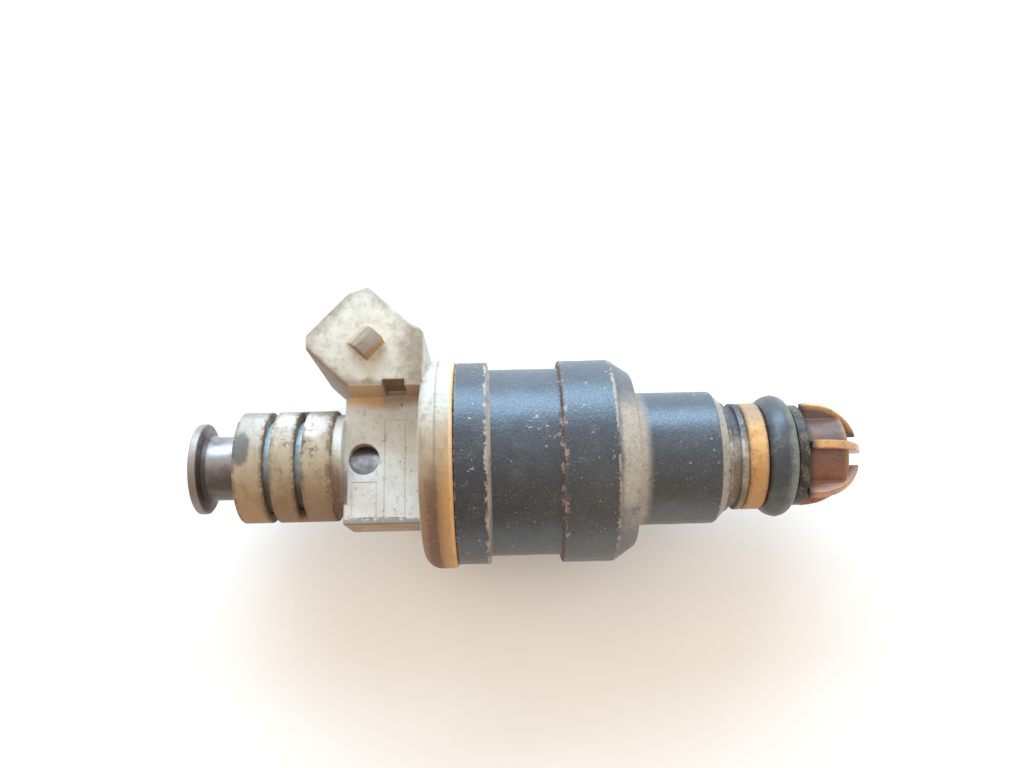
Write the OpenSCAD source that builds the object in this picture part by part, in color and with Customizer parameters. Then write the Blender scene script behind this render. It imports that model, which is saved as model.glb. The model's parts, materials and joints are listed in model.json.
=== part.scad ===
// Port fuel injector with a two-blade side connector and a finned nozzle cap.
// The injector's axis is X: fuel enters at -X and sprays towards +X.
// The origin is on the axis, at the shoulder where the lower spigot leaves the shell.

/* [Shell] */
// Radius of the two wide bands of the shell
band_r = 12; // [11.6:0.1:14.4]
// Radius of the waist between the bands
waist_r = 11.1; // [10.8:0.1:11.5]
// Length of the band next to the connector
back_band_len = 3.8; // [2:0.1:6]
// Length of the waist
waist_len = 8.3; // [6:0.1:12]
// Length of the band next to the spigot
front_band_len = 6; // [4:0.1:8]
// Length of the conical shoulder
shoulder_len = 2.5; // [1.5:0.1:3.2]
// Radius of the shoulder's end face
shoulder_r = 10.3; // [9.5:0.1:11]
// Length of the lip that the connector moulding covers
tuck_len = 1.9; // [1.5:0.1:3]
// Radius of that lip
tuck_r = 11.4; // [11:0.1:11.5]
// Wall between the waist's outside and the coil chamber
shell_wall = 1.2; // [0.8:0.1:1.4]
// Thickness of the chamber's floor, which the armature passes
floor_t = 4.4; // [3:0.1:5]
// Radius of the spigot that sits in the manifold
spigot_r = 7.9; // [7.5:0.1:9]
// Length of the spigot
spigot_len = 9.5; // [7:0.1:14]
// Length of the spigot's chamfered end
spigot_chamfer = 1.1; // [0.5:0.1:1.5]

/* [Inlet tube] */
// Outer radius of the bare neck that carries the upper O-ring
neck_r = 3.8; // [3.6:0.1:4.4]
// Length of the bare neck
neck_len = 3.4; // [3:0.1:6]
// Radius of the lip at the tube's mouth
lip_r = 4.9; // [4.6:0.1:5.4]
// Length of the lip
lip_len = 0.9; // [0.6:0.1:1.5]
// Bore that takes the filter
inlet_bore_r = 3.05; // [2.8:0.05:3.2]
// Radius of the collar that the sleeve is moulded on
collar_r = 5.4; // [5:0.1:5.6]
// Radius of the slim tube inside the block
slim_r = 2.6; // [2.4:0.1:3]
// Outer radius of the pole core inside the coil
core_r = 3.4; // [3.2:0.1:4.1]
// Fuel bore through the slim tube and the core
core_bore_r = 1.7; // [1.6:0.05:1.9]

/* [Connector moulding] */
// Outer radius of the sleeve behind the inlet neck
sleeve_r = 6.6; // [6.4:0.1:7.5]
// Length of the sleeve
sleeve_len = 11.1; // [10.5:0.1:14]
// Radius of the short waist between sleeve and block
link_r = 6.1; // [5.6:0.1:6.3]
// Length of that waist
link_len = 1.2; // [0.8:0.1:2]
// Length of the block
block_len = 9.1; // [8.5:0.1:12]
// Half thickness of the block
block_half_t = 3.65; // [3.5:0.05:4.5]
// Distance from the axis to the block's free side
block_side = 7.55; // [6.8:0.05:9]
// Radius of the round window in the block
window_r = 1.8; // [1.2:0.1:2.2]
// Radius of the flange over the shell's end
flange_r = 12.4; // [12.1:0.1:14.5]
// Length of the flange's rounded shoulder
flange_round = 2; // [1:0.1:3]
// Width of the two grooves in the sleeve
groove_w = 0.85; // [0.5:0.05:1.2]

/* [Connector head] */
// Angle between the connector's axis and the spray direction
head_angle = 137; // [130:1:145]
// Distance from the injector's axis to the mouth, along the connector's axis
head_reach = 24.4; // [23:0.1:28]
// Width of the head
head_w = 17; // [16:0.1:20.4]
// Thickness of the head
head_t = 10.35; // [9.5:0.05:12]
// Wall around the socket
head_wall = 1.3; // [1:0.1:1.6]
// Depth of the socket
socket_depth = 7.4; // [5:0.1:7.6]
// Distance from the injector's axis to the head's lower face
head_base = 7.45; // [6.8:0.05:8]
// Width of the contact blades
blade_w = 2.8; // [2:0.1:3.2]
// Thickness of the contact blades
blade_t = 0.8; // [0.5:0.1:1]
// Distance between the blades' centres
blade_pitch = 5; // [4.5:0.1:6]
// Height of the locking ramps
ramp_h = 2; // [1:0.1:2.4]
// Width of the locking ramps
ramp_w = 3; // [1.5:0.1:3.5]
// Length of the locking ramps
ramp_len = 3.2; // [2:0.1:4]
// Length of the flat tops of the locking ramps
ramp_flat = 1.6; // [0.4:0.1:1.8]

/* [Nozzle end] */
// Radius of the stem that carries the seal ring
stem_r = 3.78; // [3.5:0.02:4]
// Section of the lower seal ring
seal_section = 3.53; // [3:0.01:4]
// Radius of the backup ring and, nearly, of the support washer
backup_r = 6.4; // [6:0.1:7]
// Length of the backup ring
backup_len = 2.2; // [1:0.05:3]
// Length of the support washer
washer_len = 0.9; // [0.6:0.1:1.5]
// Length of the groove between the spigot and the washer
groove_len = 1.1; // [0.8:0.1:2]
// Radius at the bottom of that groove
groove_r = 5.9; // [5.2:0.1:6.1]
// Radius of the cap's collar
cap_collar_r = 6; // [5.6:0.1:6.6]
// Length of the cap's collar
cap_collar_len = 1.2; // [0.8:0.1:1.6]
// Radius of the cap's body
cap_r = 4.6; // [4.4:0.1:5]
// Length of the cap's body past its collar
cap_len = 4.9; // [4.5:0.1:5.5]
// Radius of the round outline of the fins
fin_r = 6.35; // [5.8:0.05:7]
// Thickness of a fin
fin_t = 0.95; // [0.6:0.05:1.2]
// How far the fins stand past the cap's body
fin_past = 2.05; // [1:0.05:2.6]
// Number of fins
fin_count = 6; // [3:1:8]

/* [Valve] */
// Lift of the needle
needle_lift = 0.1; // [0.05:0.01:0.12]
// Gap that is left between armature and core at full lift
rest_gap = 0.06; // [0.03:0.01:0.1]
// Bore of the valve body that guides the needle
guide_r = 2; // [1.8:0.05:2.2]
// Running clearance of the needle in that bore, at the radius
guide_gap = 0.02; // [0.01:0.005:0.05]
// Radius of the needle between its lands
shank_r = 1.3; // [1:0.05:1.4]
// Radius of the spray orifice
orifice_r = 0.5; // [0.4:0.05:0.6]
// Length of the armature
armature_len = 4.5; // [3.8:0.1:5]
// Radius of the armature
armature_r = 4.1; // [3.8:0.1:4.4]
// Clearance between the armature and the chamber's floor
armature_gap = 0.2; // [0.15:0.05:0.4]
// Thickness of the stop plate
stop_t = 1; // [0.8:0.1:1.4]
// Radius of the bore that holds the valve body
body_r = 6.2; // [5.8:0.1:6.4]

/* [Coil] */
// Thickness of the cover plate over the coil
plate_t = 2.8; // [2:0.1:3.4]
// Thickness of the bobbin's hub
hub_t = 1; // [0.7:0.1:1.3]
// Thickness of the bobbin's flanges
bobbin_flange_t = 2.3; // [2:0.1:3]
// Depth of the winding
winding_t = 3.6; // [2:0.1:3.8]
// Thickness of the tape over the winding
tape_t = 0.3; // [0.1:0.05:0.4]

/* [Spring and filter] */
// Wire radius of the closing spring
wire_r = 0.22; // [0.15:0.01:0.25]
// Length of the spring with the valve shut
spring_len = 8; // [6:0.1:10]
// Number of turns
spring_turns = 8; // [5:1:10]
// Length of the adjusting sleeve
adjuster_len = 5; // [3:0.1:7]
// Length of the filter
filter_len = 10.5; // [8:0.1:11.5]

/* [Hidden] */

$fn = 96;
tiny = 0.01;
past = 1;
edge = 0.25;

// Stations along the axis behind the shoulder, from the origin towards the inlet
x_band_front = -shoulder_len;
x_waist_front = x_band_front - front_band_len;
x_waist_back = x_waist_front - waist_len;
x_shell_back = x_waist_back - back_band_len;
x_lip = x_shell_back - tuck_len;
x_flange = x_lip - flange_round;
x_block = x_flange - block_len;
x_link = x_block - link_len;
x_sleeve = x_link - sleeve_len;
x_neck = x_sleeve - neck_len;
lip_fillet = lip_r - neck_r;
x_mouth = x_neck - lip_fillet - lip_len;

// Stations in front of the shoulder, towards the spray
x_spigot = spigot_len;
x_body_flange = x_spigot + spigot_chamfer;
body_flange_len = 0.45;
x_washer = x_body_flange + body_flange_len + groove_len;
x_backup = x_washer + washer_len;
x_seal = x_backup + backup_len;
seal_play = 0.035;
x_cap = x_seal + seal_section + 2 * seal_play;
x_fins = x_cap + cap_collar_len + 0.2;
socket_len = 2.1;
x_stem_end = x_cap + socket_len;
x_cap_end = x_cap + cap_collar_len + cap_len;
x_fin_end = x_cap_end + fin_past;
x_fin_centre = x_fins + 0.9;

// Inside the shell
stop_back = -1.2;
chamber_r = waist_r - shell_wall;
x_floor = stop_back - floor_t;
x_plate_back = x_lip + 0.4;
x_plate = x_plate_back + plate_t;
crimp_r = chamber_r - 0.7;
x_stop_front = stop_back + stop_t;
armature_stand = 0.3;
x_armature_end = stop_back - armature_stand;
x_armature = x_armature_end - armature_len;
x_pole = x_armature - needle_lift - rest_gap;
x_spring_seat = x_armature + 2.4;
x_adjuster = x_spring_seat - spring_len;
spring_r = core_bore_r - wire_r - 0.13;

// Bobbin and its seals
bobbin_in = core_r + 0.2;
hub_r = bobbin_in + hub_t;
winding_r = hub_r + winding_t;
bobbin_r = chamber_r - 0.3;
upper_seal_r = 0.8;
lower_seal_r = 0.775;
seal_step_r = chamber_r - 2 * lower_seal_r;
x_bobbin_step = x_pole - 0.3;

// Seats of the needle
seat_len = 1.2;
seat_land = 0.5;
x_seat_end = x_stem_end - seat_land;
x_seat = x_seat_end - seat_len;
seat_slope = (guide_r - orifice_r) / seat_len;
seat_play = 0.025;
pintle_r = orifice_r - 0.05;
collar_len = 1;
stop_collar_r = 2.6;
collar_room = 0.6;

// Connector head: its axis crosses the injector's axis at head_root
head_root = x_shell_back + 3.6;
head_s_base = 9;
ramp_back = head_reach - 7.4;
ramp_toe_h = 0.2;
leg_w = 2;
leg_z = block_half_t - 0.4 - leg_w / 2;

function along(s, t) = [
    head_root + s * cos(head_angle) - t * sin(head_angle),
    s * sin(head_angle) + t * cos(head_angle)
];

// Distance along the head's axis at which the line t meets the height y
function reach_at(y, t) = (y - t * cos(head_angle)) / sin(head_angle);

// Points of an arc about (cx, cr) from angle a0 to a1
function arc(cx, cr, radius, a0, a1, steps = 10) = [
    for (i = [0:steps])
        let (a = a0 + (a1 - a0) * i / steps)
            [cx + radius * cos(a), cr + radius * sin(a)]
];

// Solid of revolution about X from a profile of [x, radius] points
module turned(profile) {
    rotate([0, 90, 0])
        rotate_extrude()
            polygon([for (p = profile) [p[1], p[0]]]);
}

// Plain ring or disc about X
module ring(x0, x1, r_out, r_in = 0) {
    turned([[x0, r_in], [x0, r_out], [x1, r_out], [x1, r_in]]);
}

// Seal ring of round section about X
module seal_ring(x, r_mean, r_section) {
    rotate([0, 90, 0])
        rotate_extrude()
            translate([r_mean, x])
                circle(r = r_section, $fn = 48);
}

// Round rod along X
module rod(x0, x1, r) {
    translate([x0, 0, 0])
        rotate([0, 90, 0])
            cylinder(r = r, h = x1 - x0);
}

module inlet_tube() {
    collar_back = x_sleeve + 1.3;
    collar_front = x_link - 1.2;
    filter_floor = x_mouth + filter_len + 1.6;
    mouth_chamfer = 0.5;
    color("lightslategray")
        turned(concat(
            [[x_mouth, inlet_bore_r + mouth_chamfer], [x_mouth, lip_r - edge]],
            [[x_mouth + edge, lip_r], [x_mouth + lip_len, lip_r]],
            arc(x_neck, lip_r, lip_fillet, 180, 270, 8),
            [[collar_back, neck_r], [collar_back, collar_r]],
            [[collar_front, collar_r], [collar_front, slim_r]],
            [[x_flange, slim_r], [x_flange, core_r]],
            [[x_pole, core_r], [x_pole, core_bore_r]],
            [[filter_floor, core_bore_r], [filter_floor - 1, inlet_bore_r]],
            [[x_mouth + mouth_chamfer, inlet_bore_r]]
        ));
}

module filter_ring() {
    color("goldenrod")
        ring(x_mouth + 0.7, x_mouth + 2.7, inlet_bore_r, filter_flange_r());
}

function filter_flange_r() = inlet_bore_r - 0.55;

module filter_basket() {
    rib_w = 0.5;
    wall = 0.45;
    x0 = x_mouth + 0.7;
    x1 = x_mouth + filter_len;
    outer = filter_flange_r() - 0.25;
    color("ivory")
        difference() {
            union() {
                ring(x0, x0 + 2, filter_flange_r());
                ring(x0, x1, outer);
            }
            rod(x0 - past, x1 - 0.8, outer - wall);
            for (turn = [0, 60, 120])
                rotate([turn, 0, 0])
                    for (row = [0, 1])
                        translate([x0 + 2.6 + row * 3.4, -outer - past, -outer / 2 + rib_w / 2])
                            cube([2.8, 2 * (outer + past), outer - rib_w]);
        }
}

module filter_mesh() {
    screen_t = 0.12;
    outer = filter_flange_r() - 0.25 - 0.45;
    x0 = x_mouth + 2.5;
    x1 = x_mouth + filter_len - 0.8;
    color("whitesmoke")
        difference() {
            rod(x0, x1, outer);
            rod(x0 - past, x1 - screen_t, outer - screen_t);
        }
}

module adjusting_sleeve() {
    slot_w = 0.5;
    wall = 0.5;
    color("silver")
        difference() {
            rod(x_adjuster - adjuster_len, x_adjuster, core_bore_r);
            rod(x_adjuster - adjuster_len - past, x_adjuster + past, core_bore_r - wall);
            translate([x_adjuster - adjuster_len - past, -slot_w / 2, 0])
                cube([adjuster_len + 2 * past, slot_w, core_bore_r + past]);
        }
}

// Helix with a closed turn at each end, swept with an eight-sided wire
module closing_spring() {
    sides = 8;
    steps_per_turn = 20;
    steps = spring_turns * steps_per_turn;
    run = spring_len - 2 * wire_r;
    dead = 2 * wire_r;
    open_turns = spring_turns - 2;
    pitch = (run - 2 * dead) / open_turns;
    function advance(turn) =
        turn < 1 ? turn * dead
        : turn > spring_turns - 1 ? run - (spring_turns - turn) * dead
        : dead + (turn - 1) * pitch;
    function wire_point(step, side) =
        let (
            turn = step / steps_per_turn,
            a = 360 * turn,
            b = 360 * side / sides,
            r = spring_r + wire_r * cos(b)
        )
        [x_adjuster + wire_r + advance(turn) + wire_r * sin(b), r * cos(a), r * sin(a)];
    points = [for (i = [0:steps]) for (k = [0:sides - 1]) wire_point(i, k)];
    sides_faces = [
        for (i = [0:steps - 1])
            for (k = [0:sides - 1])
                let (n = (k + 1) % sides)
                    [i * sides + k, (i + 1) * sides + k, (i + 1) * sides + n, i * sides + n]
    ];
    first = [for (k = [0:sides - 1]) k];
    last = [for (k = [sides - 1:-1:0]) steps * sides + k];
    color("silver")
        polyhedron(points = points, faces = concat([first, last], sides_faces), convexity = 10);
}

// Outline of the head in the plane of the injector's and the connector's axes
module head_outline() {
    corner = 1;
    half = head_t / 2;
    web_x = x_flange + 0.5;
    web_y = head_base + 7;
    polygon([
        along(reach_at(head_base, half), half),
        along(head_reach - corner, half),
        along(head_reach, half - corner),
        along(head_reach, -half + 2 * corner),
        along(head_reach - corner, -half),
        along(reach_at(web_y + 0.5, -half), -half),
        [web_x - 0.4, web_y],
        [web_x, web_y - 0.6],
        [web_x, head_base]
    ]);
}

module head_block() {
    translate([0, 0, -head_w / 2])
        linear_extrude(height = head_w)
            head_outline();
}

module locking_ramp() {
    translate([head_root, 0, 0])
        rotate([0, 0, head_angle])
            translate([ramp_back, ramp_w / 2, head_w / 2])
                rotate([90, 0, 0])
                    linear_extrude(height = ramp_w)
                        polygon([[0, -tiny], [0, ramp_h], [ramp_flat, ramp_h],
                            [ramp_len, ramp_toe_h], [ramp_len, -tiny]]);
}

module head_socket() {
    translate([head_root, 0, 0])
        rotate([0, 0, head_angle])
            translate([head_reach - socket_depth, -head_t / 2 + head_wall, -head_w / 2 + head_wall])
                cube([socket_depth + past, head_t - 2 * head_wall, head_w - 2 * head_wall]);
}

// Blade in the socket, on a narrower leg that is bent to run along the injector into the bobbin
module terminal(side) {
    blade_start = head_reach - socket_depth - 1;
    bend = along(head_s_base, 0);
    leg_end = x_plate + 1.2;
    leg_side = side * leg_z - leg_w / 2;
    translate([head_root, 0, 0])
        rotate([0, 0, head_angle]) {
            translate([blade_start, -blade_t / 2, side * blade_pitch / 2 - blade_w / 2])
                cube([head_reach - 2 - blade_start, blade_t, blade_w]);
            translate([head_s_base, -blade_t / 2, leg_side])
                cube([blade_start + tiny - head_s_base, blade_t, leg_w]);
        }
    translate([bend[0], bend[1] - blade_t / 2, leg_side])
        cube([leg_end - bend[0], blade_t, leg_w]);
    translate([bend[0], bend[1], leg_side])
        cylinder(r = blade_t / 2, h = leg_w);
}

module terminal_left() {
    color("gold")
        terminal(-1);
}

module terminal_right() {
    color("gold")
        terminal(1);
}

// Ring sector about X between two angles, counted from +Z towards +Y
module groove_cut(x, depth_r, from, to) {
    rotate([180 - to, 0, 0])
        rotate([0, 90, 0])
            rotate_extrude(angle = to - from)
                translate([depth_r, x])
                    square([sleeve_r + past - depth_r, groove_w]);
}

module sleeve_grooves() {
    first = x_sleeve + 3.35;
    second = x_sleeve + 6.95;
    bridge = 35;
    reach = 77;
    groove_cut(first, collar_r, bridge - 180, 180 - bridge);
    groove_cut(second, collar_r, -reach, reach);
    groove_cut(second, collar_r, 180 - reach, 180 + reach);
}

// Shallow framed panels on both faces of the block
module block_panels() {
    depth = 0.08;
    line_w = 0.15;
    module frame(x0, y0, dx, dy) {
        translate([x0, y0, block_half_t - depth])
            linear_extrude(height = past)
                difference() {
                    square([dx, dy]);
                    translate([line_w, line_w])
                        square([dx - 2 * line_w, dy - 2 * line_w]);
                }
    }
    frame(x_block + 0.85, -block_side + 0.6, 3, 4.3);
    frame(x_block + 4.6, -block_side + 0.6, 2.55, 11.6);
}

module moulding_body() {
    turned([[x_sleeve, neck_r], [x_sleeve, sleeve_r], [x_link, sleeve_r], [x_link, neck_r]]);
    ring(x_link, x_block, link_r);
    translate([x_block, -block_side, -block_half_t])
        cube([x_flange + 1 - x_block, block_side + head_base, 2 * block_half_t]);
    turned(concat(
        [[x_flange, 0], [x_flange, flange_r - flange_round]],
        arc(x_lip, flange_r - flange_round, flange_round, 180, 90, 8),
        [[x_shell_back - edge, flange_r], [x_shell_back, flange_r - edge], [x_shell_back, tuck_r]],
        [[x_lip, tuck_r], [x_lip, crimp_r], [x_plate_back, crimp_r], [x_plate_back, 0]]
    ));
    head_block();
    locking_ramp();
    mirror([0, 0, 1])
        locking_ramp();
}

module connector_overmold() {
    notch = [2.5, 0.75];
    notch_x = x_block + 4.9;
    notch_depth = head_w / 2 - block_half_t;
    window_x = x_block + 2.25;
    color("antiquewhite")
        difference() {
            moulding_body();
            rod(x_sleeve - past, x_sleeve + 1.3, neck_r);
            rod(x_sleeve + 1.3, x_link - 1.2, collar_r);
            rod(x_link - 1.2 - tiny, x_flange, slim_r);
            rod(x_flange, x_plate_back + past, core_r);
            head_socket();
            terminal(-1);
            terminal(1);
            sleeve_grooves();
            for (face = [0, 1])
                mirror([0, 0, face]) {
                    block_panels();
                    translate([notch_x, head_base - past, block_half_t])
                        cube([notch[0], notch[1] + past, notch_depth + past]);
                }
            translate([window_x, 0, 0])
                cylinder(r = window_r, h = block_half_t + past);
        }
}

module cover_plate() {
    slot = [leg_w + 0.8, blade_t + 1];
    leg_y = along(head_s_base, 0)[1];
    color("dimgray")
        difference() {
            ring(x_plate_back, x_plate, chamber_r, core_r);
            for (side = [-1, 1])
                translate([x_plate_back - past, leg_y - slot[1] / 2, side * leg_z - slot[0] / 2])
                    cube([plate_t + 2 * past, slot[1], slot[0]]);
        }
}

module coil_bobbin() {
    upper_seal_room = hub_r + 0.4;
    color("saddlebrown")
        difference() {
            turned([
                [x_plate, core_r + 2 * upper_seal_r],
                [x_plate, bobbin_r],
                [x_plate + bobbin_flange_t, bobbin_r],
                [x_plate + bobbin_flange_t, hub_r],
                [x_floor - bobbin_flange_t, hub_r],
                [x_floor - bobbin_flange_t, bobbin_r],
                [x_floor - 2 * lower_seal_r - 0.05, bobbin_r],
                [x_floor - 2 * lower_seal_r - 0.05, seal_step_r],
                [x_floor, seal_step_r],
                [x_floor, armature_r + armature_gap],
                [x_bobbin_step, armature_r + armature_gap],
                [x_bobbin_step, bobbin_in],
                [x_plate + 2 * upper_seal_r, bobbin_in],
                [x_plate + 2 * upper_seal_r, core_r + 2 * upper_seal_r]
            ]);
            terminal(-1);
            terminal(1);
        }
}

module coil_winding() {
    color("chocolate")
        ring(x_plate + bobbin_flange_t, x_floor - bobbin_flange_t, winding_r, hub_r);
}

module coil_tape() {
    color("darkgoldenrod")
        ring(x_plate + bobbin_flange_t, x_floor - bobbin_flange_t, winding_r + tape_t, winding_r);
}

module upper_coil_seal() {
    color("#202020")
        seal_ring(x_plate + upper_seal_r, core_r + upper_seal_r, upper_seal_r);
}

module lower_coil_seal() {
    color("#202020")
        seal_ring(x_floor - lower_seal_r - 0.025, chamber_r - lower_seal_r, lower_seal_r);
}

module housing_shell() {
    color("#26282d")
        turned([
            [x_lip, crimp_r],
            [x_lip, tuck_r],
            [x_shell_back, tuck_r],
            [x_shell_back, band_r - edge],
            [x_shell_back + edge, band_r],
            [x_waist_back - edge, band_r],
            [x_waist_back, band_r - edge],
            [x_waist_back, waist_r],
            [x_waist_front, waist_r],
            [x_waist_front, band_r - edge],
            [x_waist_front + edge, band_r],
            [x_band_front, band_r],
            [0, shoulder_r],
            [0, spigot_r],
            [x_spigot, spigot_r],
            [x_body_flange, spigot_r - spigot_chamfer],
            [x_body_flange, body_r],
            [stop_back, body_r],
            [stop_back, armature_r + armature_gap],
            [x_floor, armature_r + armature_gap],
            [x_floor, chamber_r],
            [x_plate_back, chamber_r],
            [x_plate_back, crimp_r]
        ]);
}

module armature() {
    passage_r = 0.5;
    passages = 4;
    spring_room = core_bore_r + 0.2;
    passage_at = (spring_room + armature_r) / 2 - 0.1;
    color("gray")
        difference() {
            rod(x_armature, x_armature_end, armature_r);
            rod(x_armature - past, x_spring_seat, spring_room);
            rod(x_armature - past, x_armature_end + past, needle_top_r());
            for (i = [0:passages - 1])
                rotate([i * 360 / passages, 0, 0])
                    translate([0, passage_at, 0])
                        rod(x_armature - past, x_armature_end + past, passage_r);
        }
}

function needle_top_r() = shank_r + 0.05;

module needle() {
    land_r = guide_r - guide_gap;
    land_flat = land_r * 0.86;
    land_len = 2;
    first_land = x_stop_front + collar_len + collar_room + 1.4;
    second_land = x_seat - 3.4;
    x_collar = x_stop_front + needle_lift;
    x_cone = x_seat + (guide_r - shank_r) / seat_slope - seat_play;
    x_cone_end = x_seat + (guide_r - pintle_r) / seat_slope - seat_play;
    tip = x_stem_end + 1.8;
    color("lightsteelblue") {
        turned([
            [x_spring_seat, 0],
            [x_spring_seat, needle_top_r()],
            [x_collar, needle_top_r()],
            [x_collar, stop_collar_r],
            [x_collar + collar_len, stop_collar_r],
            [x_collar + collar_len, shank_r],
            [x_cone, shank_r],
            [x_cone_end, pintle_r],
            [x_stem_end + 0.3, pintle_r],
            [x_stem_end + 0.7, pintle_r * 0.65],
            [tip - 0.3, pintle_r * 0.95],
            [tip, pintle_r * 0.95],
            [tip, 0]
        ]);
        for (x = [first_land, second_land])
            intersection() {
                rod(x, x + land_len, land_r);
                translate([x, -land_flat, -land_flat])
                    cube([land_len, 2 * land_flat, 2 * land_flat]);
            }
    }
}

module stop_plate() {
    pass_r = needle_top_r() + 0.4;
    color("darkgray")
        difference() {
            rod(stop_back, x_stop_front, body_r);
            rod(stop_back - past, x_stop_front + past, pass_r);
            translate([stop_back - past, -pass_r, 0])
                cube([stop_t + 2 * past, 2 * pass_r, body_r + past]);
        }
}

module valve_body() {
    x_collar_floor = x_stop_front + collar_len + collar_room;
    seal_x = x_stop_front + 7;
    seal_groove = 2 * body_seal_r();
    color("lightgray")
        turned([
            [x_stop_front, stop_collar_r + 0.6],
            [x_stop_front, body_r],
            [seal_x - seal_groove / 2, body_r],
            [seal_x - seal_groove / 2, body_r - seal_groove],
            [seal_x + seal_groove / 2, body_r - seal_groove],
            [seal_x + seal_groove / 2, body_r],
            [x_body_flange, body_r],
            [x_body_flange, body_r + 0.35],
            [x_body_flange + body_flange_len, body_r + 0.35],
            [x_body_flange + body_flange_len, groove_r],
            [x_washer, groove_r],
            [x_washer, stem_r],
            [x_stem_end, stem_r],
            [x_stem_end, orifice_r],
            [x_seat_end, orifice_r],
            [x_seat, guide_r],
            [x_collar_floor, guide_r],
            [x_collar_floor, stop_collar_r + 0.6]
        ]);
}

function body_seal_r() = 0.7;

module body_seal() {
    color("#202020")
        seal_ring(x_stop_front + 7, body_r - body_seal_r(), body_seal_r());
}

module support_washer() {
    bevel = 0.3;
    outer = backup_r - 0.05;
    color("silver")
        turned([
            [x_washer, stem_r],
            [x_washer, outer],
            [x_backup - bevel, outer],
            [x_backup, outer - bevel],
            [x_backup, stem_r]
        ]);
}

module backup_ring() {
    color("sienna")
        turned([
            [x_backup, stem_r],
            [x_backup, backup_r - edge],
            [x_backup + edge, backup_r],
            [x_seal - edge, backup_r],
            [x_seal, backup_r - edge],
            [x_seal, stem_r]
        ]);
}

module lower_seal_ring() {
    color("#1b1c1e")
        seal_ring(x_seal + seal_play + seal_section / 2, stem_r + seal_section / 2, seal_section / 2);
}

// One fin: a slab cut to the round outline, open inside past the cap's body
module fin(crown_r) {
    difference() {
        intersection() {
            translate([x_fin_centre, 0, 0])
                sphere(r = fin_r);
            translate([x_fins, -fin_t / 2, 0])
                cube([x_fin_end - x_fins, fin_t, fin_r]);
        }
        rod(x_cap_end, x_fin_end + past, crown_r);
    }
}

module pintle_cap() {
    spray_r = 1.5;
    crown_r = 2.2;
    color("#9a4a28")
        difference() {
            union() {
                rod(x_cap, x_cap_end, cap_r);
                rod(x_cap, x_cap + cap_collar_len, cap_collar_r);
                for (i = [0:fin_count - 1])
                    rotate([i * 360 / fin_count, 0, 0])
                        fin(crown_r);
            }
            rod(x_cap - past, x_stem_end, stem_r);
            rod(x_stem_end - past, x_cap_end + past, spray_r);
            rod(x_cap_end - 2.2, x_cap_end + past, crown_r);
        }
}

inlet_tube();
filter_ring();
filter_basket();
filter_mesh();
adjusting_sleeve();
closing_spring();
connector_overmold();
terminal_left();
terminal_right();
cover_plate();
coil_bobbin();
coil_winding();
coil_tape();
upper_coil_seal();
lower_coil_seal();
housing_shell();
armature();
needle();
stop_plate();
valve_body();
body_seal();
support_washer();
backup_ring();
lower_seal_ring();
pintle_cap();
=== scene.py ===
import json
import math

import bmesh
import bpy
import numpy as np
from mathutils import Matrix, Vector


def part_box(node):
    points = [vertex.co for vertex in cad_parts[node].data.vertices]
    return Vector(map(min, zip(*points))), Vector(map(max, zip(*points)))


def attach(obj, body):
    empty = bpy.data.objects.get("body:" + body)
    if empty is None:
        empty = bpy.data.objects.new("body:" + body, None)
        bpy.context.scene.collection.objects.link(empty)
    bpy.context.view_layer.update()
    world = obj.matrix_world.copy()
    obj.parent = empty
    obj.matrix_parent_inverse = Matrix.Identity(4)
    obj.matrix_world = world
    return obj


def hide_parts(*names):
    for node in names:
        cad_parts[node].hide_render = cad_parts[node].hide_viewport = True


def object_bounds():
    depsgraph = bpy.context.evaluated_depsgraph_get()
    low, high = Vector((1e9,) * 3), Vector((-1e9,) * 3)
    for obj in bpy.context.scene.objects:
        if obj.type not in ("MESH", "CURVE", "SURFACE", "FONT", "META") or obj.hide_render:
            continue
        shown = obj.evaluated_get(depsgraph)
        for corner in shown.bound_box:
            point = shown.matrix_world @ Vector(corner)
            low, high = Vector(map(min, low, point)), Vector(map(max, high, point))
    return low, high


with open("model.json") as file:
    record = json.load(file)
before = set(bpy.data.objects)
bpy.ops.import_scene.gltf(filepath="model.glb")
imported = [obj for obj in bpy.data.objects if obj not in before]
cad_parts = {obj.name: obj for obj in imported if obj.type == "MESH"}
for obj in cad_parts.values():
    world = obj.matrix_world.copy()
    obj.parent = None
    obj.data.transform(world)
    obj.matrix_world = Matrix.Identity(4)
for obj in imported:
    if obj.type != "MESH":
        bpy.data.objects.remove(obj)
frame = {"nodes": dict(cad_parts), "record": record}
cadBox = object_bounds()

mm = 0.001
body = "injector_body"
scene = bpy.context.scene

# the camera looks down on the injector, a little towards the side away from the connector
cameraSettings = {
    "distance": 110.0,          # mm from the injector's axis
    "aimAt": -15.0,             # mm along the axis
    "roll": 11.0,               # degrees that the connector's side is turned down
    "lookUp": 4.876,            # degrees that the view is raised towards the connector
    "lookRight": 0.591,
    "twist": -1.349,
    "lens": 32.0,               # mm on the sensor below
    "sensor": 36.0,
    "clip": (0.005, 5.0),       # metres
}


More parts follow.
